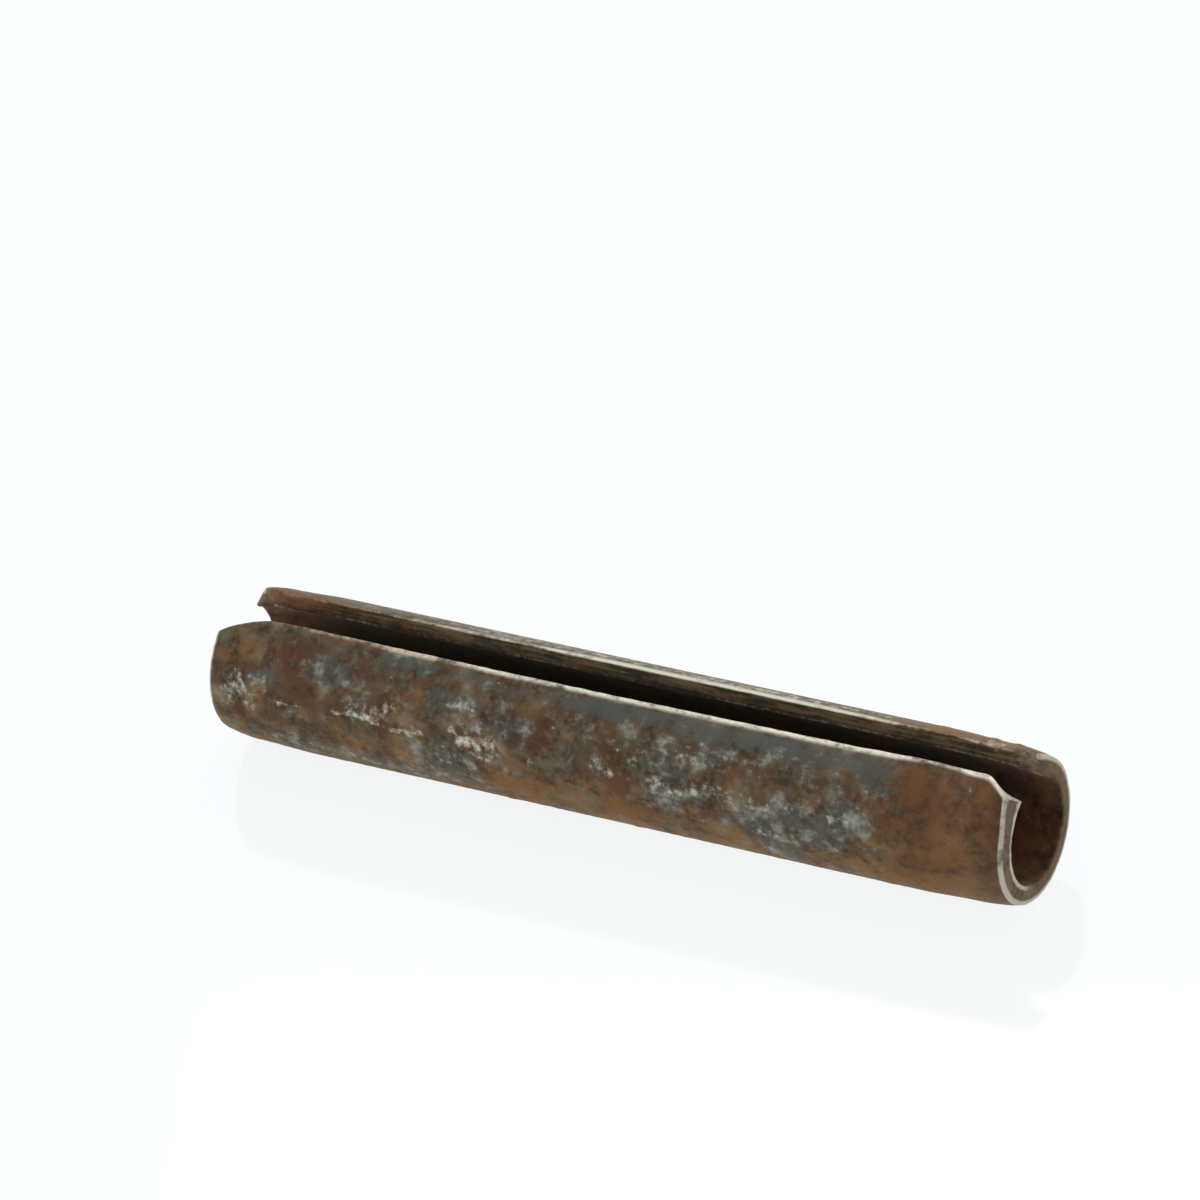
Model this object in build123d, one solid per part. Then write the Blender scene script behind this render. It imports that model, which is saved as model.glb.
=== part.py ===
# Light-duty slotted spring pin (roll pin): one strip of spring steel rolled into an open tube,
# with both ends swaged in to a short nose so the pin starts easily in its hole.
# Millimetres. X runs along the pin, Z goes up through the middle of the slot, and the origin is
# on the pin's axis at mid-length.
import os

from build123d import *

# ---- body ----
outside_dia = 6.4          # free outside diameter of the rolled strip (6 mm nominal pin)
wall = 0.75                # thickness of the strip
length = 36.0              # overall length, rim to rim
slot_width = 1.80          # clear gap between the two lips, parallel sided

# ---- noses (the same at both ends) ----
nose_length = 1.70         # length over which the outside draws in
nose_dia = 5.84            # outside diameter at the rim
nose_throat_dia = 4.30     # opening left at the rim
rim_lean = 0.10            # the rim's inner edge stands this far ahead of its outer edge

# ---- corners of the lips, sheared back where the slot meets each rim ----
bevel_length_right = 1.20  # along the pin, +X end
bevel_spread_right = 0.38  # added to each side of the slot at the +X rim
bevel_length_left = 1.90   # along the pin, -X end
bevel_spread_left = 0.66   # added to each side of the slot at the -X rim

# ---- edges ----
lip_round = 0.10           # rounding of the lips' outer edges along the straight part

outer_r = outside_dia / 2
bore_r = outer_r - wall
half_length = length / 2
nose_start = half_length - nose_length
nose_r = nose_dia / 2
throat_r = nose_throat_dia / 2
half_slot = slot_width / 2
node = "roll_pin"


def half_section():
    """Outline of one half of the wall, from mid-length to the +X rim, in the X-Z plane."""
    with BuildSketch(Plane.XZ) as sketch:
        with BuildLine():
            Polyline((nose_start, bore_r), (0, bore_r), (0, outer_r), (nose_start, outer_r))
            TangentArc((nose_start, outer_r), (half_length - rim_lean, nose_r), tangent=(1, 0))
            Line((half_length - rim_lean, nose_r), (half_length, throat_r))
            TangentArc((nose_start, bore_r), (half_length, throat_r), tangent=(1, 0))
        make_face()
    return sketch.sketch


def tube():
    """The closed tube with a nose on each end."""
    right = revolve(half_section(), axis=Axis.X)
    return right + mirror(right, about=Plane.YZ)


def slot_plan():
    """Plan of the slot: parallel along the pin, flaring at each rim where the lips are sheared."""
    over = 1.0
    right = half_length
    left = -half_length
    grow_right = bevel_spread_right / bevel_length_right
    grow_left = bevel_spread_left / bevel_length_left
    wide_right = half_slot + bevel_spread_right + over * grow_right
    wide_left = half_slot + bevel_spread_left + over * grow_left
    side = [
        (left - over, wide_left),
        (left + bevel_length_left, half_slot),
        (right - bevel_length_right, half_slot),
        (right + over, wide_right),
    ]
    other = [(x, -y) for x, y in reversed(side)]
    with BuildSketch(Plane.XY) as sketch:
        with BuildLine():
            Polyline(*side, *other, close=True)
        make_face()
    return sketch.sketch


def lip_edges(solid):
    """The two long outer edges of the lips, between the sheared corners."""
    found = []
    for edge in solid.edges().filter_by(GeomType.LINE).filter_by(Axis.X):
        middle = edge.center()
        radius = (middle.Y ** 2 + middle.Z ** 2) ** 0.5
        if middle.Z > 0 and abs(abs(middle.Y) - half_slot) < 0.02 and radius > outer_r - 0.02:
            found.append(edge)
    return found


def build_pin():
    """The rolled pin: the nosed tube opened along its top."""
    pin = tube() - extrude(slot_plan(), amount=outer_r + 1.0)
    pin = fillet(lip_edges(pin), lip_round)
    return pin.clean()


pin = build_pin()
solid = pin.solids()[0]
solid.label = node

os.makedirs("parts", exist_ok=True)
export_step(solid, f"parts/{node}.step")
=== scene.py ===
import bpy, bmesh, math, random
from mathutils import Matrix, Vector, noise


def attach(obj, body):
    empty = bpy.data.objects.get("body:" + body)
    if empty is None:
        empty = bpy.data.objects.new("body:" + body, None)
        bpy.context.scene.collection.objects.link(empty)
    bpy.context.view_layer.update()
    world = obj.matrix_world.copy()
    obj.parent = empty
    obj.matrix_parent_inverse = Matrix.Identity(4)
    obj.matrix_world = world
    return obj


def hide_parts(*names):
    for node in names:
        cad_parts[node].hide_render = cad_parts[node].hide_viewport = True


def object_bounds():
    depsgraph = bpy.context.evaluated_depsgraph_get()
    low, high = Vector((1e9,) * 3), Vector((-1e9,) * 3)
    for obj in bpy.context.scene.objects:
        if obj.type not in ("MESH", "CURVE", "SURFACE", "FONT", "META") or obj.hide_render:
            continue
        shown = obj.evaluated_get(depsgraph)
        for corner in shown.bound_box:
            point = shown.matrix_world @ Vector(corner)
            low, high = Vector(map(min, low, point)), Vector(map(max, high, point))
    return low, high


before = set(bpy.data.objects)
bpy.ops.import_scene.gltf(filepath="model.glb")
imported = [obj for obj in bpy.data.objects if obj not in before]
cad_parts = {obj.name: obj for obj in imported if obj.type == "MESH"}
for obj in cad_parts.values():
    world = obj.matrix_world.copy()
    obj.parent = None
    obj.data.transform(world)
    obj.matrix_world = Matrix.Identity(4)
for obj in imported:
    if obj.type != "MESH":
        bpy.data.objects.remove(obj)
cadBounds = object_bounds()
mm = 0.001
print("frame loaded")


def hexToLinear(hexColor):  # sRGB hex to linear RGBA
    parts = [int(hexColor[i:i + 2], 16) / 255 for i in (1, 3, 5)]
    return tuple(c / 12.92 if c <= 0.04045 else ((c + 0.055) / 1.055) ** 2.4 for c in parts) + (1.0,)


def addNode(tree, kind, *inputs, **settings):
    # inputs are values, hex colours or what feeds them, for the open sockets in turn, or a dict by name
    node = tree.nodes.new("ShaderNode" + kind)
    for name, value in settings.items():
        setattr(node, name, value)
    if inputs and isinstance(inputs[0], dict):
        pairs = [(node.inputs[name], value) for name, value in inputs[0].items()]
    else:
        pairs = zip([socket for socket in node.inputs if socket.enabled], inputs)
    for socket, value in pairs:
        if isinstance(value, bpy.types.Node):
            value = next(output for output in value.outputs if output.enabled)
        if isinstance(value, bpy.types.NodeSocket):
            tree.links.new(value, socket)
        else:
            socket.default_value = hexToLinear(value) if isinstance(value, str) else value
    return node


def smooth(low, high, value):  # eased step from 0 at low to 1 at high
    t = min(max((value - low) / (high - low), 0.0), 1.0)
    return t * t * (3 - 2 * t)


def along(profile, x):  # straight-line reading of a list of (x, level)
    for (x0, a), (x1, b) in zip(profile, profile[1:]):
        if x <= x1:
            return a + (b - a) * min(max((x - x0) / (x1 - x0), 0.0), 1.0)
    return profile[-1][1]


pin = {  # millimetres
    "length": 36.0,
    "outsideDia": 6.4,
    "wall": 0.72,
    "slotWidth": 1.80,
    "cellsAlong": 270,
    "cellsAcross": 126,
    "cellsThrough": 4,
    "edgeRound": 0.07,
    "taperLength": 4.3,  # the ends close up gently over this length
    "taperDrop": 0.08,
    "noseLength": 1.65,  # and then turn in over this one
    "noseDrop": (0.215, 0.17),  # left, right
    "throatLength": 1.9,
    "throatDrop": 0.23,
    "rimLean": 0.12,
    "bevelRight": (1.30, 0.60, 0.04),  # ground lip corner: length, then spread at the skin and at the bore
    "bevelLeft": (2.20, 0.72, 0.12),
    "cornerLean": 0.34,  # the right end's corners are ground back this much more at the skin
    "backLipShort": 0.40,  # the far lip's left tip stops this far before the rim
    "bevelEase": 0.12,  # share of a lip corner over which it runs out
    "rustRelief": 0.012,
    "rimWave": 0.05,  # how ragged the rims are
    "lipSway": 0.022,
    "patchWander": ((1.1, 0.22), (3.7, 0.07)),  # how patch edges stray: waves per mm, mm
}
halfLength = pin["length"] / 2
outerR = pin["outsideDia"] / 2
boreR = outerR - pin["wall"]
halfStrip = outerR * (math.pi - math.asin(pin["slotWidth"] / 2 / outerR))  # half the strip's width

# Rust lumps that stand up from the skin: along the pin, round it, radius, height.
lumps = [
    (-4.4, -2.95, 0.32, 0.080), (1.3, -2.9, 0.35, 0.055), (2.8, -3.0, 0.4, 0.045), (-9.5, -3.0, 0.4, 0.03),
    (15.6, 8.1, 0.30, 0.06), (16.6, 7.9, 0.25, 0.06), (13.4, 8.0, 0.35, 0.03), (9.2, -2.9, 0.5, 0.03),
    (12.5, -2.8, 0.5, 0.03),
]

# Patches of skin: kind, along the pin, round it, and the two half widths, then strength.
patches = [
    ("bare", 6.8, -6.4, 5.6, 1.60, 0.34), ("bare", -5.6, -6.9, 2.2, 1.10, 0.42),
    ("bare", 4.5, -7.8, 6.0, 0.60, 0.35), ("bare", -9.5, -6.6, 2.2, 0.90, 0.30),
    ("pale", 4.9, -6.0, 3.6, 0.55, 0.32), ("pale", 4.6, -7.3, 2.6, 0.60, 0.30),
    ("pale", -5.6, -6.9, 1.5, 0.80, 0.30), ("pale", -15.8, -6.3, 1.2, 0.60, 0.35),
    ("dark", 0.0, -6.6, 2.6, 0.9, 0.35), ("dark", 7.5, -6.9, 3.0, 0.5, 0.40),
    ("dark", -11.0, -8.2, 4.0, 0.5, 0.35), ("pale", -4.0, 8.5, 6.5, 0.42, 0.66),
    ("pale", 5.0, 8.6, 6.5, 0.42, 0.72), ("bare", 0.0, 8.3, 12.0, 0.80, 0.90),
    ("pale", 10.6, 8.6, 1.2, 0.50, 0.60), ("pale", 15.9, 8.7, 0.6, 0.30, 0.70),
    ("ochre", 14.4, 8.3, 1.6, 0.60, 0.50), ("red", -15.6, 9.0, 1.4, 0.60, 0.80),
    ("ochre", -13.2, 8.8, 1.6, 0.50, 0.60), ("ochre", 14.0, 8.2, 3.4, 1.10, 1.00),
    ("bare", -11.4, 8.2, 3.4, 0.90, 0.80), ("ochre", 14.6, -5.6, 2.2, 2.40, 0.45),
    # The long ochre band at -3.6 round the pin lightens the lower flank: lighter rust, and painted light
    # bounced up from the white floor.
    ("red", 14.2, -7.2, 1.5, 1.20, 0.50), ("ochre", 4.0, -3.6, 13.0, 0.80, 0.60),
    ("ochre", 1.6, -5.0, 4.4, 0.80, 0.50), ("red", 1.0, -4.4, 3.0, 0.60, 0.35),
    ("dark", -0.6, -7.5, 1.8, 0.60, 0.40), ("pale", -6.2, -5.0, 1.0, 0.80, 0.35),
    ("bare", -6.4, -4.8, 1.2, 0.90, 0.70), ("pale", -16.3, -6.0, 1.0, 1.00, 0.45),
    ("pale", -10.4, -6.2, 1.0, 0.35, 0.60), ("dark", 1.2, -7.3, 2.0, 0.60, 0.40),
    ("pale", -5.4, -5.9, 1.0, 0.40, 0.50), ("dark", 8.2, -6.3, 1.4, 0.45, 0.40),
    ("ochre", 7.0, -6.6, 3.0, 0.60, 0.35), ("ochre", 1.0, -5.2, 3.4, 0.80, 0.50),
    ("ochre", 15.0, -4.2, 3.0, 0.50, 0.50), ("dark", 9.6, -7.9, 2.6, 0.50, 0.45),
    ("pale", -5.3, -5.6, 0.9, 0.45, 0.60), ("bare", -4.2, -7.0, 0.7, 0.50, 0.80),
    ("pale", 5.4, -5.7, 0.6, 0.40, 0.50), ("pale", 9.0, -4.2, 0.9, 0.40, 0.35),
    # The bare and pale bands at -3.4 to -3.7 round the pin also lighten the lower flank: rust and steel, and
    # painted light bounced up from the white floor.
    ("pale", -4.2, -7.0, 0.5, 0.40, 0.45), ("bare", -10.5, -3.7, 5.0, 0.60, 0.60),
    ("pale", -9.0, -3.4, 6.0, 0.50, 0.20), ("bare", 9.0, -3.4, 3.0, 0.40, 0.40),
    ("bare", -8.7, -8.54, 1.5, 0.30, 0.8), ("bare", -5.4, -8.44, 1.5, 0.35, 0.7),
    ("bare", -11.7, -8.58, 1.6, 0.18, 0.5), ("bare", 0.4, -8.44, 2.6, 0.42, 1.0),
    ("bare", 4.4, -8.45, 3.0, 0.40, 0.9), ("bare", 8.5, -8.40, 2.8, 0.45, 1.0),
    ("bare", 11.8, -8.35, 1.4, 0.50, 0.9), ("bare", -12.1, -7.48, 1.1, 0.50, 0.9),
    ("bare", -15.3, -6.72, 0.7, 0.35, 0.8), ("bare", -16.5, -6.27, 0.5, 0.60, 0.6),
    ("bare", -10.5, -6.37, 0.9, 0.50, 0.8), ("bare", -7.0, -7.48, 0.8, 0.40, 0.9),
    ("bare", -5.7, -7.48, 0.9, 0.45, 0.8), ("bare", -5.2, -6.68, 0.8, 0.40, 0.5),
    ("bare", -3.5, -7.03, 0.7, 0.28, 0.8), ("bare", -7.1, -4.36, 1.0, 0.60, 0.7),
    ("bare", -8.0, -5.17, 0.35, 0.40, 0.8), ("bare", -5.0, -5.47, 0.7, 0.40, 0.5),
    ("bare", -13.9, -5.36, 0.35, 0.35, 0.6), ("bare", -3.3, -8.29, 0.9, 0.3, 0.6),
    ("bare", 3.3, -7.49, 1.3, 0.50, 0.7), ("bare", 3.3, -6.64, 0.9, 0.35, 1.0),
    ("bare", 5.2, -7.49, 0.9, 0.55, 0.8), ("bare", 3.2, -5.28, 0.9, 0.55, 0.9),
    ("bare", 4.7, -5.78, 1.3, 0.40, 0.8), ("bare", 1.8, -6.63, 0.5, 0.30, 0.6),
    ("bare", 7.4, -5.18, 1.5, 0.60, 0.9), ("bare", 8.8, -5.69, 0.7, 0.70, 0.9),
    ("bare", 8.3, -4.08, 0.9, 0.90, 0.9), ("bare", 10.4, -5.19, 1.3, 0.55, 0.9),
    ("bare", 11.3, -6.09, 1.0, 0.65, 1.0), ("bare", 12.3, -7.50, 0.7, 0.28, 0.9),
    ("bare", 8.9, -7.59, 1.0, 0.25, 0.6), ("bare", 6.9, -6.39, 0.9, 0.35, 0.5),
    ("bare", 6.1, -7.59, 0.7, 0.3, 0.6), ("bare", 12.6, -4.89, 0.4, 0.2, 0.5),
    ("bare", 16.8, -7.80, 0.35, 0.25, 0.4), ("bare", 16.0, -6.80, 0.4, 0.3, 0.4),
    # The small pale patches along about -5.8 to -6.2 round the pin, in the middle of the skin, are painted
    # glints.
    ("bare", -4.0, -4.87, 0.6, 0.3, 0.4), ("pale", -16.5, -6.37, 0.45, 0.65, 0.75),
    ("pale", -15.6, -5.92, 0.6, 0.12, 0.5), ("pale", -14.4, -5.82, 0.25, 0.12, 1.0),
    ("pale", -13.7, -5.82, 0.35, 0.11, 0.9), ("pale", -11.7, -5.89, 0.22, 0.13, 1.0),
    ("pale", -10.7, -6.02, 0.9, 0.16, 1.0), ("pale", -10.5, -6.37, 0.7, 0.35, 0.65),
    ("pale", -10.0, -5.85, 0.3, 0.12, 1.0), ("pale", -9.4, -6.68, 0.6, 0.16, 0.6),
    ("pale", -8.7, -5.82, 0.6, 0.13, 0.95), ("pale", -7.9, -5.89, 0.25, 0.16, 1.0),
    ("pale", -6.4, -6.23, 0.3, 0.16, 1.0), ("pale", -5.8, -5.92, 0.45, 0.24, 1.0),
    ("pale", -5.0, -5.98, 0.65, 0.26, 1.0), ("pale", -4.6, -6.18, 0.25, 0.2, 0.8),
    ("pale", -2.9, -5.68, 0.3, 0.15, 0.7), ("pale", -5.6, -7.23, 0.10, 0.10, 1.0),
    ("pale", -1.8, -7.29, 0.10, 0.10, 1.0), ("pale", -9.5, -7.88, 0.10, 0.10, 0.8),
    ("pale", -4.7, -8.64, 0.10, 0.10, 0.9), ("pale", 0.8, -6.00, 0.22, 0.15, 1.0),
    ("pale", 0.3, -6.38, 0.5, 0.3, 0.5), ("pale", 1.8, -6.58, 0.35, 0.20, 0.7),
    ("pale", 1.0, -6.94, 0.12, 0.12, 0.8), ("pale", 2.8, -5.98, 0.40, 0.28, 0.8),
    ("pale", 3.7, -5.73, 0.5, 0.22, 0.6), ("pale", 4.6, -5.90, 0.18, 0.20, 1.0),
    ("pale", 5.5, -5.93, 0.45, 0.18, 0.65), ("pale", 6.3, -5.91, 0.3, 0.18, 0.65),
    ("pale", 7.2, -5.74, 0.35, 0.13, 0.6), ("pale", 7.7, -5.84, 0.12, 0.22, 0.6),
    ("pale", 8.9, -5.99, 0.35, 0.2, 0.5), ("pale", 10.8, -5.99, 0.3, 0.22, 0.75),
    ("pale", 4.0, -7.39, 1.2, 0.4, 0.45), ("pale", 7.5, -6.49, 1.0, 0.4, 0.2),
    ("pale", 11.3, -6.09, 0.8, 0.4, 0.35), ("pale", -6.0, -7.38, 0.9, 0.3, 0.4),
    ("pale", 7.7, -4.58, 0.8, 0.4, 0.4), ("pale", 4.9, -4.73, 0.2, 0.12, 0.6),
    ("pale", -6.4, -4.46, 0.3, 0.15, 0.5), ("red", -13.9, -7.58, 0.9, 0.90, 1.0),
    ("red", -13.8, -6.57, 1.0, 0.45, 0.9), ("red", -13.1, -6.07, 1.2, 0.30, 0.7),
    ("red", -2.5, -6.93, 0.8, 0.85, 1.0), ("red", -2.2, -7.99, 0.5, 0.40, 0.8),
    ("red", -0.7, -7.69, 1.0, 0.40, 0.5), ("red", -0.0, -5.78, 1.1, 0.35, 0.7),
    ("red", 1.6, -5.48, 0.9, 0.60, 0.9), ("red", -10.4, -7.48, 0.9, 0.40, 0.6),
    ("red", -8.9, -5.17, 0.5, 0.35, 0.6), ("red", 5.2, -5.03, 0.7, 0.25, 0.9),
    ("red", -15.0, -5.16, 0.8, 0.4, 0.3), ("red", 13.9, -7.40, 1.3, 1.00, 0.7),
    ("red", 13.9, -6.29, 1.0, 0.6, 0.6), ("red", 17.4, -6.90, 0.5, 1.60, 0.7),
    ("red", -11.2, -5.37, 0.7, 0.3, 0.4), ("red", 14.6, -4.79, 1.3, 0.5, 0.6),
    ("red", -7.7, -6.88, 0.8, 0.5, 0.3), ("red", 17.2, -5.19, 0.5, 0.5, 0.6),
    ("red", 6.2, -6.89, 0.8, 0.3, 0.3), ("ochre", -16.4, -7.78, 1.1, 0.50, 0.4),
    ("ochre", -16.3, -4.96, 0.8, 0.55, 0.45), ("ochre", -11.1, -4.35, 0.9, 0.50, 0.7),
    ("ochre", -8.7, -4.36, 0.8, 0.55, 0.7), ("ochre", -3.5, -4.16, 1.4, 0.60, 1.0),
    ("ochre", -1.2, -4.47, 1.2, 0.60, 0.9), ("ochre", 1.0, -4.17, 1.3, 0.70, 0.8),
    ("ochre", 6.1, -4.38, 0.7, 0.55, 0.9), ("ochre", 9.9, -4.18, 0.6, 0.5, 0.5),
    ("ochre", 13.2, -3.79, 2.6, 0.75, 0.9), ("ochre", 16.0, -3.59, 1.4, 0.6, 0.8),
    ("ochre", 16.9, -5.69, 0.30, 0.25, 0.9), ("ochre", 16.1, -7.70, 0.25, 0.22, 0.7),
    ("ochre", 15.5, -6.60, 0.4, 0.18, 0.6), ("ochre", -9.1, -6.17, 0.6, 0.3, 0.4),
    ("ochre", 15.3, -5.39, 1.0, 0.5, 0.35), ("ochre", 3.7, -4.17, 0.8, 0.5, 0.6),
    ("ochre", 2.6, -3.97, 0.8, 0.5, 0.4), ("ochre", 13.7, -8.40, 0.9, 0.4, 0.5),
    ("dark", -3.7, -6.58, 0.45, 0.40, 1.0), ("dark", -1.3, -5.98, 0.7, 0.40, 0.8),
    ("dark", -13.2, -6.57, 0.3, 0.4, 0.6), ("dark", 10.6, -7.29, 0.9, 0.25, 0.7),
    ("dark", 14.7, -5.79, 0.5, 0.3, 0.5), ("dark", -4.2, -8.09, 0.6, 0.25, 0.6),
    ("dark", 12.8, -6.29, 0.5, 0.3, 0.4), ("dark", -6.6, -5.97, 0.9, 0.4, 0.5),
]
hidden = random.Random(23)  # the same mix of patches carries on round the sides that are turned away
for i in range(150):
    kind = hidden.choices(["bare", "pale", "red", "ochre", "dark"], [5, 4, 4, 3, 2])[0]
    size = hidden.uniform(0.12, 0.35) if kind == "pale" else hidden.uniform(0.4, 1.2)
    patches.append((kind, hidden.uniform(-17.0, 17.0), hidden.uniform(-2.4, 8.6),
                    size * hidden.uniform(1.0, 1.8), size * hidden.uniform(0.4, 0.7),
                    hidden.uniform(0.5, 1.0)))

# How bright each lip's outer edge is along the pin: rubbed, and with a painted highlight.
frontShine = [
    (-17.5, 0.1), (-15.5, 0.3), (-14.0, 0.4), (-12.9, 0.5), (-11.2, 0.5), (-10.2, 0.7), (-9.9, 0.9),
    (-7.9, 0.9), (-7.6, 0.35), (-7.1, 0.7), (-6.2, 0.6), (-5.8, 0.85), (-2.4, 0.8), (-2.1, 0.25),
    (-1.9, 0.85), (3.0, 0.9), (12.5, 1.0), (14.0, 0.6), (15.4, 0.6), (15.9, 1.0), (17.5, 1.0),
]
backShine = [
    (-17.5, 0.0), (-13.0, 0.1), (-10.5, 0.4), (-8.0, 0.6), (-4.0, 0.7), (-1.0, 1.2), (8.0, 1.2), (10.5, 0.9),
    (12.5, 0.45), (14.5, 0.2), (15.2, 0.6), (16.0, 0.3), (17.5, 0.3),
]

# Half the slot's width on each side, along the pin: the lips are not quite straight.
frontGap = [
    (-18.0, 0.84), (-14.3, 0.86), (-9.6, 0.90), (-5.0, 0.92), (0.0, 0.92), (4.0, 0.89), (8.5, 0.86),
    (11.0, 0.84), (12.8, 0.79), (14.5, 0.75), (16.0, 0.75), (18.0, 0.76),
]
backGap = [(-18.0, 0.90), (18.0, 0.90)]


def slotHalf(x, front, share):  # share is 0 at the skin and 1 at the bore
    reach, atSkin, atBore = pin["bevelRight"] if x > 0 else pin["bevelLeft"]
    over = (reach - (halfLength - abs(x))) / reach
    ease = pin["bevelEase"]
    eased = over if over > ease else max(over + ease, 0.0) ** 2 / (4 * ease)
    return along(frontGap if front else backGap, x) + (atSkin + (atBore - atSkin) * share) * eased


def rolled(x, s, depth, lift):  # flat strip to open tube: along, across, below the skin, above the skin
    toRim = halfLength - abs(x)
    taper = pin["taperDrop"] * (1 - smooth(pin["noseLength"], pin["taperLength"], toRim))
    nose = pin["noseDrop"][x > 0] * max(1 - toRim / pin["noseLength"], 0.0) ** 1.65
    throat = pin["throatDrop"] * max(1 - toRim / pin["throatLength"], 0.0) ** 1.6
    share = depth / pin["wall"]
    outside = outerR - taper - nose
    inside = boreR - taper - throat
    r = outside + (inside - outside) * share + lift
    lean = pin["rimLean"] * (1 - share) * max(1 - toRim / 0.9, 0.0) ** 2
    if x > 0:
        lean *= 1 - 0.7 * smooth(-3.0, 1.0, s)
        nearLip = max(1 - (halfStrip - abs(s)) / 2, 0.0) ** 1.5
        lean += pin["cornerLean"] * (1 - share) * max(1 - toRim / 1.2, 0.0) * nearLip
    if x < 0 < s:
        lean += pin["backLipShort"] * max(1 - toRim / 1.5, 0.0) * max(1 - (halfStrip - s) / 1.1, 0.0) ** 2
    angle = s / halfStrip * (math.pi - math.asin(slotHalf(x, s < 0, share) / r))
    return Vector((math.copysign(abs(x) - lean, x), r * math.sin(angle), -r * math.cos(angle)))


paintKinds = ("bare", "pale", "red", "ochre", "dark", "rubbedAndHighlit", "ground")


def rollPin():
    bm = bmesh.new()
    bmesh.ops.create_grid(bm, x_segments=pin["cellsAlong"], y_segments=pin["cellsAcross"], size=1.0)
    bmesh.ops.scale(bm, vec=(halfLength, halfStrip, 1.0), verts=bm.verts[:])
    blank = bm.faces[:]
    bmesh.ops.solidify(bm, geom=blank, thickness=pin["wall"])
    bmesh.ops.recalc_face_normals(bm, faces=bm.faces[:])
    if max(v.co.z for v in bm.verts) > 0.01:  # the skin is at zero and the bore side below it
        bmesh.ops.translate(bm, vec=(0, 0, -pin["wall"]), verts=bm.verts[:])
    through = [e for e in bm.edges if abs(e.verts[0].co.z - e.verts[1].co.z) > 0.5 * pin["wall"]]
    corners = [e for e in bm.edges if e.is_manifold and len(e.link_faces) == 2
               and e.calc_face_angle(0.0) > 1.0 and e not in set(through)]
    bmesh.ops.bevel(bm, geom=corners, offset=pin["edgeRound"], affect="EDGES", segments=2, profile=0.5,
                    material=-1, offset_type="OFFSET", clamp_overlap=True)
    through = [e for e in bm.edges if abs(e.verts[0].co.z - e.verts[1].co.z) > 0.5 * pin["wall"]]
    bmesh.ops.subdivide_edges(bm, edges=through, cuts=pin["cellsThrough"] - 1, use_grid_fill=True)
    bmesh.ops.remove_doubles(bm, verts=bm.verts[:], dist=0.0005)

    strip = bm.verts.layers.float_vector.new("strip")
    layers = {kind: bm.verts.layers.float.new(kind) for kind in paintKinds}
    for v in bm.verts:
        x, s, depth = v.co.x, v.co.y, -v.co.z
        v[strip] = (x, s, depth)
        here = Vector((x, s, depth * 2))
        (slow, far), (fast, near) = pin["patchWander"]
        wander = noise.noise_vector(here * slow) * far + noise.noise_vector(here * fast) * near
        px, ps = x + wander.x, s + wander.y * 0.6
        for kind, cx, cs, rx, rs, strength in patches:
            if abs(px - cx) < rx * 1.7 and abs(ps - cs) < rs * 1.7:
                q = ((px - cx) / rx) ** 2 + ((ps - cs) / rs) ** 2
                v[layers[kind]] = max(v[layers[kind]], strength * (1 - smooth(0.0, 2.6, q)))
        v[layers["rubbedAndHighlit"]] = along(frontShine if s < 0 else backShine, x)
        v[layers["ground"]] = (1 - smooth(1.1, 1.5, halfLength - x)) * (1 if s < 0 else 0.1)
        onSkin = 1 - smooth(0.0, 0.35, depth)
        grain = noise.fractal(here * 2.6, 1.0, 2.0, 3) * (1 - 0.7 * v[layers["bare"]])
        lift = pin["rustRelief"] * grain
        for cx, cs, size, height in lumps:
            q = ((x - cx) ** 2 + (s - cs) ** 2) / size ** 2
            if q < 4:
                lift += onSkin * height * math.exp(-q * 1.6) * (1 + 0.5 * noise.noise(here * 9))
        nearRim = 1 - smooth(0.0, 0.5, halfLength - abs(x))
        ragged = pin["rimWave"] * nearRim * noise.noise(Vector((s * 1.7, depth * 3, math.copysign(7, x))))
        nearLip = 1 - smooth(0.0, 0.4, halfStrip - abs(s))
        sway = pin["lipSway"] * nearLip * noise.noise(Vector((x * 1.3, depth * 2, math.copysign(3, s))))
        v.co = rolled(x - math.copysign(abs(ragged), x), s - math.copysign(1, s) * sway, depth, lift) * mm
    bmesh.ops.reverse_faces(bm, faces=bm.faces[:])  # rolling it up turned it inside out
    for face in bm.faces:
        face.smooth = True
    mesh = bpy.data.meshes.new("rolledPin")
    bm.to_mesh(mesh)
    bm.free()
    piece = bpy.data.objects.new("rolledPin", mesh)
    bpy.context.collection.objects.link(piece)
    return piece


rustedSteel = {
    "rust": "#5a442e",  # the brown scale that covers most of the skin
    "rustLight": "#7d6848",
    "rustShade": "#33281c",
    "olive": "#59523f",  # scale over blued metal
    "oliveLight": "#85806a",
    "even": "#4a301a",  # smoother orange-brown scale at the right end
    "evenLight": "#6d4829",
    "red": "#502817",
    "ochre": "#7e572b",
    "dark": "#332e27",
    "steel": "#484d4a",  # blued spring steel where the scale is thin
    "steelPale": "#8e8f85",
    "wornAndHighlit": "#cac7b7",  # rubbed bright, and also the colour of the painted highlights and glints
    "wornAndHighlitWarm": "#c0a28c",  # the same under a film of rust
    "bore": "#3a2116",
    "boreDark": "#1a100d",
    "mouth": "#673a27",  # lighter rust just inside each end
    "rim": "#6d5d50",  # sheared end faces
    "rimFar": "#4c4030",
    "lipFace": "#736449",
    "lipShade": "#32291f",
    "lipEnd": "#85502f",  # fresh rust at one end of the slot
    "dust": "#dac8ab",  # powder that pales the sides seen edge on
}


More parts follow.
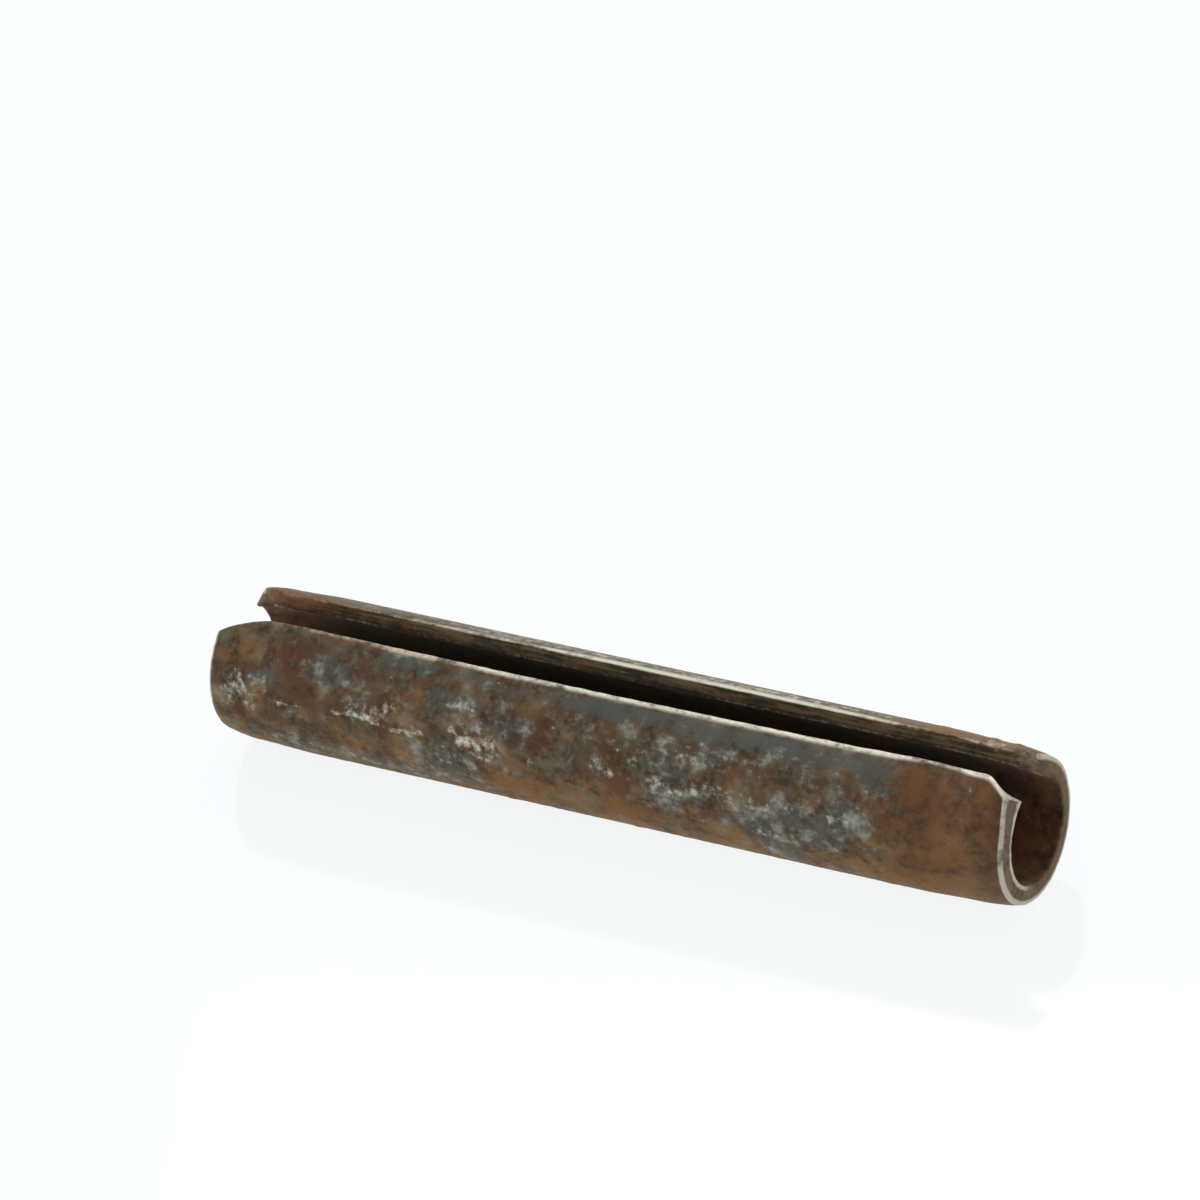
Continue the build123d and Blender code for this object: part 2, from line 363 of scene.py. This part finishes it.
def makeRustedSteel():  # carbon spring steel, rolled and hardened, then rusted: dull crumbs on grey skin
    mat = bpy.data.materials.new("rustedSpringSteelRolled")
    mat.use_nodes = True
    tree = mat.node_tree
    tree.nodes.clear()
    p = rustedSteel

    def add(kind, *inputs, **settings):
        return addNode(tree, kind, *inputs, **settings)

    def product(field, *factors):
        for factor in factors:
            field = add("Math", field, factor, operation="MULTIPLY")
        return field

    def total(*terms):  # sum of fields, each with its weight
        field = None
        for value, weight in terms:
            part = value if weight == 1 else product(value, weight)
            field = part if field is None else add("Math", field, part, operation="ADD")
        return field

    def spread(low, high, cover, *terms):  # from 0 to cover, as a sum of fields goes from low to high
        field = add("MapRange", total(*terms), low, high, interpolation_type="SMOOTHSTEP")
        return field if cover == 1 else product(field, cover)

    def line(field, middle, inner, outer):  # 1 within inner of the middle, 0 beyond outer
        off = add("Math", add("Math", field, middle, operation="SUBTRACT"), operation="ABSOLUTE")
        return spread(outer, inner, 1, (off, 1))

    def layered(color, *layers):  # colours laid over each other, each as far as its field says
        for share, over in layers:
            color = add("Mix", share, color, over, data_type="RGBA")
        return color

    where = add("TexCoord").outputs["Object"]

    def grain(size, detail, rough, shift, stretch=1):  # noise about 0, with features of a size in mm
        k = 1 / (size * mm)
        place = add("Mapping", {"Vector": where, "Location": (shift, shift * 2, shift * 3),
                                "Scale": (k / stretch, k, k)})
        field = add("TexNoise", {"Vector": place, "Scale": 1.0, "Detail": detail, "Roughness": rough})
        return product(add("Math", field, 0.5, operation="SUBTRACT"), 2.0)

    broad = grain(2.4, 2, 0.5, 4.0)  # drifts of colour
    cloud = grain(1.1, 3, 0.55, 37.0)
    patchy = grain(0.55, 3, 0.6, 9.0)  # blotches of scale
    mottle = grain(0.24, 3, 0.6, 15.0)
    drift = grain(1.0, 3, 0.6, 31.0)  # red and yellow rust in turn
    turn = grain(1.5, 3, 0.6, 53.0)  # brown and olive scale in turn
    crumbs = grain(0.10, 2, 0.6, 21.0)  # single crumbs
    streak = grain(0.17, 3, 0.6, 0.0, 1 / 0.07)  # rolled along the strip
    tone = total((broad, 0.9), (cloud, 1.1), (patchy, 0.7), (mottle, 0.3), (crumbs, 0.12))

    strip = add("SeparateXYZ", add("Attribute", attribute_name="strip").outputs["Vector"])
    atX, atS, depth = (strip.outputs[axis] for axis in "XYZ")  # along, across, below the skin
    lipGap = add("Math", halfStrip, add("Math", atS, operation="ABSOLUTE"), operation="SUBTRACT")
    rimGap = add("Math", halfLength, add("Math", atX, operation="ABSOLUTE"), operation="SUBTRACT")
    behind = spread(-0.5, 0.5, 1, (atS, 1))  # 1 on the far half of the strip
    skinOnly = spread(0.35, 0.12, 1, (depth, 1))
    rightEnd = spread(12.2, 14.0, 1, (atX, 1), (cloud, 1.5))
    paint = {kind: add("Attribute", attribute_name=kind).outputs["Fac"] for kind in paintKinds}

    def scaleColor():  # brown and olive crumbs, then the drifts and patches over them
        middling, light = spread(-0.5, 0.15, 1, (tone, 1)), spread(0.05, 0.7, 1, (tone, 1))
        brown = layered(p["rustShade"], (middling, p["rust"]), (light, p["rustLight"]))
        olive = layered(p["dark"], (middling, p["olive"]), (light, p["oliveLight"]))
        even = layered(p["even"], (spread(-0.5, 0.6, 1, (tone, 1)), p["evenLight"]))
        ragged = ((cloud, 0.7), (patchy, 0.8), (mottle, 0.4))
        return layered(
            brown,
            (spread(-0.1, 0.35, 1, (turn, 1), (patchy, 0.4)), olive),
            (spread(0.05, 0.45, 0.6, (drift, 1), (patchy, 0.3)), p["red"]),
            (spread(-0.1, -0.5, 0.5, (drift, 1), (patchy, 0.3)), p["ochre"]),
            (spread(0.1, 1.1, 0.7, (paint["ochre"], 1), *ragged), p["ochre"]),
            (spread(0.1, 1.2, 0.75, (paint["red"], 1), *ragged), p["red"]),
            (spread(0.1, 1.0, 0.8, (paint["dark"], 1), *ragged), p["dark"]),
            (spread(0.05, 0.75, 0.35, (patchy, 0.9), (cloud, 0.8), (mottle, 0.2)), p["rustShade"]),
            (spread(0.1, 0.6, 0.3, (broad, -0.8), (cloud, -1.0), (mottle, 0.3)), p["oliveLight"]),
            (product(rightEnd, skinOnly, total((0.5, 1), (behind, -0.35))), even),
        )

    def steelLayer():  # blued steel, cleanest along the lips
        lipBand = spread(1.5, 0.9, 1, (lipGap, 1))
        pale = spread(-0.15, 0.65, 1, (mottle, 0.4), (patchy, 0.9), (cloud, 0.9), (streak, 0.4),
                      (lipBand, -0.28))
        bare = spread(0.12, 1.05, 0.85, (paint["bare"], 1), (cloud, 0.5), (patchy, 0.8), (mottle, 0.4))
        share = product(bare, skinOnly, total((1.0, 1), (rightEnd, -0.75)))
        return share, layered(p["steel"], (pale, p["steelPale"]))

    def lipLayer():  # the far lip's sheared face, with fresh rust at its left end
        leftTip = product(spread(-13.2, -15.2, 1, (atX, 1)), spread(-17.6, -16.8, 1, (atX, 1)),
                          spread(-0.6, 0.3, 0.85, (mottle, 1), (patchy, 0.8)))
        color = layered(p["lipShade"],
                        (spread(-0.35, 0.4, 1, (streak, 1.3), (mottle, 0.4), (cloud, 0.5)), p["lipFace"]),
                        (spread(0.1, 0.5, 0.55, (drift, 1), (patchy, 0.7)), p["lipEnd"]),
                        (leftTip, p["lipEnd"]))
        return product(spread(0.12, 0.05, 0.85, (lipGap, 1)), behind), color

    def boreLayer():
        nearMouth = spread(5.0, 0.4, 1, (rimGap, 1))
        crust = spread(0.25, 0.7, 1, (mottle, 1), (patchy, 0.7))
        color = layered(p["boreDark"],
                        (spread(-0.4, 0.5, 1, (tone, 1)), p["bore"]),
                        (product(nearMouth, spread(-0.5, 0.6, 1, (patchy, 1))), p["mouth"]),
                        (product(nearMouth, crust), p["rustLight"]))
        return spread(0.55 * pin["wall"], 0.98 * pin["wall"], 0.9, (depth, 1)), color

    def rimLayer():
        share = product(spread(0.14, 0.07, 0.65, (rimGap, 1)),
                        spread(-0.6, 0.4, 1, (mottle, 1), (patchy, 0.6)))
        return share, layered(p["rim"], (spread(-2.5, 0.5, 1, (atS, 1)), p["rimFar"]))

    def wornAndHighlitFields():  # pale flecks, some of them painted glints; the lips' outer edges, rubbed and with a painted highlight; their inner edges; the rims' edges, painted highlights; and the ground corners
        edgeDepth = product(depth, total((1.0, 1), (behind, 2.0)))
        # painted highlights on the rims' edges: the outer edge all round, and the inner edge on the near
        # side
        nearRimHighlight = product(line(depth, 0.64, 0.05, 0.12), spread(-1.0, -3.0, 1, (atS, 1)))
        rimHighlightLines = add("Math", spread(0.22, 0.10, 1, (depth, 1)), nearRimHighlight, operation="MAXIMUM")
        # pale flecks, partly pale crumbs and partly painted glints
        flecksAndGlints = product(skinOnly, spread(0.4, 1.4, 0.92, (paint["pale"], 1), (patchy, 0.6),
                                          (mottle, 0.9), (crumbs, 0.25)))
        # the lips' outer edges: rubbed metal with a painted highlight on it
        outerEdge = product(
            spread(0.16, -0.04, 1, (lipGap, 1), (paint["rubbedAndHighlit"], -0.2)),  # the brighter, the wider
            spread(0.26, 0.08, 1, (edgeDepth, 1)),
            spread(0.1, 1.1, 0.95, (paint["rubbedAndHighlit"], 1), (streak, 0.6), (mottle, 0.7), (patchy, 0.4)))
        innerEdge = product(spread(0.2, 0.05, 0.55, (lipGap, 1)), line(depth, 0.66, 0.03, 0.10),
                            spread(-0.1, 0.6, 1, (streak, 1), (mottle, 1)))
        rimEdgeHighlight = product(spread(0.18, 0.08, 0.8, (rimGap, 1)), rimHighlightLines,
                          spread(-0.7, 0.1, 1, (cloud, 1), (mottle, 0.4)))
        groundFace = product(spread(0.12, 0.06, 0.8, (lipGap, 1)), paint["ground"],
                             spread(-0.7, 0.3, 1, (mottle, 1)))
        wornAndHighlit = flecksAndGlints
        for field in (outerEdge, innerEdge, rimEdgeHighlight, groundFace):
            wornAndHighlit = add("Math", wornAndHighlit, field, operation="MAXIMUM")
        return wornAndHighlit, outerEdge

    bare, steelColor = steelLayer()
    wornAndHighlit, outerEdge = wornAndHighlitFields()
    warm = product(spread(-5.0, -11.0, 1, (atX, 1)), outerEdge)
    wornAndHighlitColor = layered(p["wornAndHighlit"], (warm, p["wornAndHighlitWarm"]))
    # the last layer is the rubbed wear together with the painted highlights and glints
    color = layered(scaleColor(), (bare, steelColor), lipLayer(), boreLayer(), rimLayer(),
                    (product(wornAndHighlit, 0.92), wornAndHighlitColor))
    metal = add("Math", product(bare, 0.5), wornAndHighlit, operation="MAXIMUM")
    bump = add("Bump", {"Strength": 0.32, "Distance": 0.05 * mm,
                        "Height": total((crumbs, 0.25), (mottle, 0.4), (patchy, 0.35))})
    shader = add("BsdfPrincipled", {
        "Base Color": color,
        "Metallic": product(metal, 0.7),
        "Roughness": total((0.8, 1), (metal, -0.33)),
        "Normal": bump,
        "Specular IOR Level": 0.15,
        "Sheen Weight": 0.42,
        "Sheen Roughness": 0.45,
        "Sheen Tint": p["dust"],
    })
    add("OutputMaterial", shader)
    return mat


pinPiece = rollPin()
pinPiece.data.materials.append(makeRustedSteel())
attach(pinPiece, "root")
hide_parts("roll_pin")
print("pin rolled:", len(pinPiece.data.polygons), "faces")

floorLook = {
    "size": 1.6,  # m
    "color": "#f4f6f7",
    "seen": "#fcfeff",
    "seenShare": 0.94,  # how much of the white it shows by itself
    "ior": 1.49,
    "mirror": 0.75,  # against new acrylic: it is scuffed
    "mirrorRough": 0.09,
}


def makeFloor():  # white acrylic sheet, moulded smooth: pale, with a faint mirror image
    mat = bpy.data.materials.new("whiteAcrylicSheet")
    mat.use_nodes = True
    tree = mat.node_tree
    tree.nodes.clear()
    path = addNode(tree, "LightPath")
    seen = addNode(tree, "Math", path.outputs["Is Camera Ray"], path.outputs["Is Glossy Ray"],
                   operation="MAXIMUM")
    seen = addNode(tree, "Math", seen, path.outputs["Is Transmission Ray"], operation="MAXIMUM")
    share = addNode(tree, "Math", seen, floorLook["seenShare"], operation="MULTIPLY")
    sheet = addNode(tree, "BsdfDiffuse", {"Color": floorLook["color"]})
    glow = addNode(tree, "Emission", {"Color": floorLook["seen"], "Strength": 1.0})
    body = addNode(tree, "MixShader", share, sheet, glow)
    gloss = addNode(tree, "BsdfGlossy", {"Color": floorLook["seen"], "Roughness": floorLook["mirrorRough"]})
    mirror = addNode(tree, "Math", addNode(tree, "Fresnel", {"IOR": floorLook["ior"]}), floorLook["mirror"],
                     operation="MULTIPLY")
    addNode(tree, "OutputMaterial", addNode(tree, "MixShader", mirror, body, gloss))
    bm = bmesh.new()
    bmesh.ops.create_grid(bm, x_segments=1, y_segments=1, size=floorLook["size"] / 2)
    bmesh.ops.translate(bm, vec=(0, 0, cadBounds[0][2]), verts=bm.verts[:])
    mesh = bpy.data.meshes.new("floor")
    bm.to_mesh(mesh)
    bm.free()
    mesh.materials.append(mat)
    floor = bpy.data.objects.new("floor", mesh)
    bpy.context.collection.objects.link(floor)


makeFloor()

light = {
    "worldColor": "#ffffff",
    "worldStrength": 0.72,
    "lamps": [  # name, W, size, place: one over the back, one low in front
        ("softboxOverBack", 0.45, 0.25, (-0.05, 0.16, 0.30)),
        ("softboxLowFront", 0.22, 0.20, (-0.10, -0.30, 0.05)),
    ],
}
world = bpy.data.worlds.new("whiteRoom")
bpy.context.scene.world = world
world.use_nodes = True
worldTree = world.node_tree
worldTree.nodes.clear()
room = addNode(worldTree, "Background", {"Color": light["worldColor"], "Strength": light["worldStrength"]})
seenRoom = addNode(worldTree, "Background", {"Color": floorLook["seen"], "Strength": 1.0})
rays = addNode(worldTree, "LightPath")
either = addNode(worldTree, "Math", rays.outputs["Is Camera Ray"], rays.outputs["Is Glossy Ray"],
                 operation="MAXIMUM")
either = addNode(worldTree, "Math", either, rays.outputs["Is Transmission Ray"], operation="MAXIMUM")
addNode(worldTree, "OutputWorld", addNode(worldTree, "MixShader", either, room, seenRoom))
print("room lit")

for lampName, power, size, place in light["lamps"]:
    lamp = bpy.data.lights.new(lampName, "AREA")
    lamp.shape = "SQUARE"
    lamp.size = size
    lamp.energy = power
    lampObject = bpy.data.objects.new(lampName, lamp)
    lampObject.location = place
    lampObject.rotation_euler = (-Vector(place)).to_track_quat("-Z", "Y").to_euler()
    bpy.context.collection.objects.link(lampObject)

shot = {
    "place": (0.14663, -0.21559, 0.19327),
    "lookAt": (-0.00212, 0.00264, 0.00465),
    "roll": -9.71,  # degrees
    "lens": 245.9,  # mm
    "sensor": 36.0,
}
cam = bpy.data.cameras.new("camera")
cam.lens = shot["lens"]
cam.sensor_width = shot["sensor"]
cam.clip_start = 0.01
camObject = bpy.data.objects.new("camera", cam)
aim = (Vector(shot["lookAt"]) - Vector(shot["place"])).to_track_quat("-Z", "Y").to_matrix()
camObject.matrix_world = (Matrix.Translation(shot["place"]) @ aim.to_4x4()
                          @ Matrix.Rotation(math.radians(shot["roll"]), 4, "Z"))
bpy.context.collection.objects.link(camObject)
bpy.context.scene.camera = camObject
bpy.context.scene.view_settings.view_transform = "Standard"
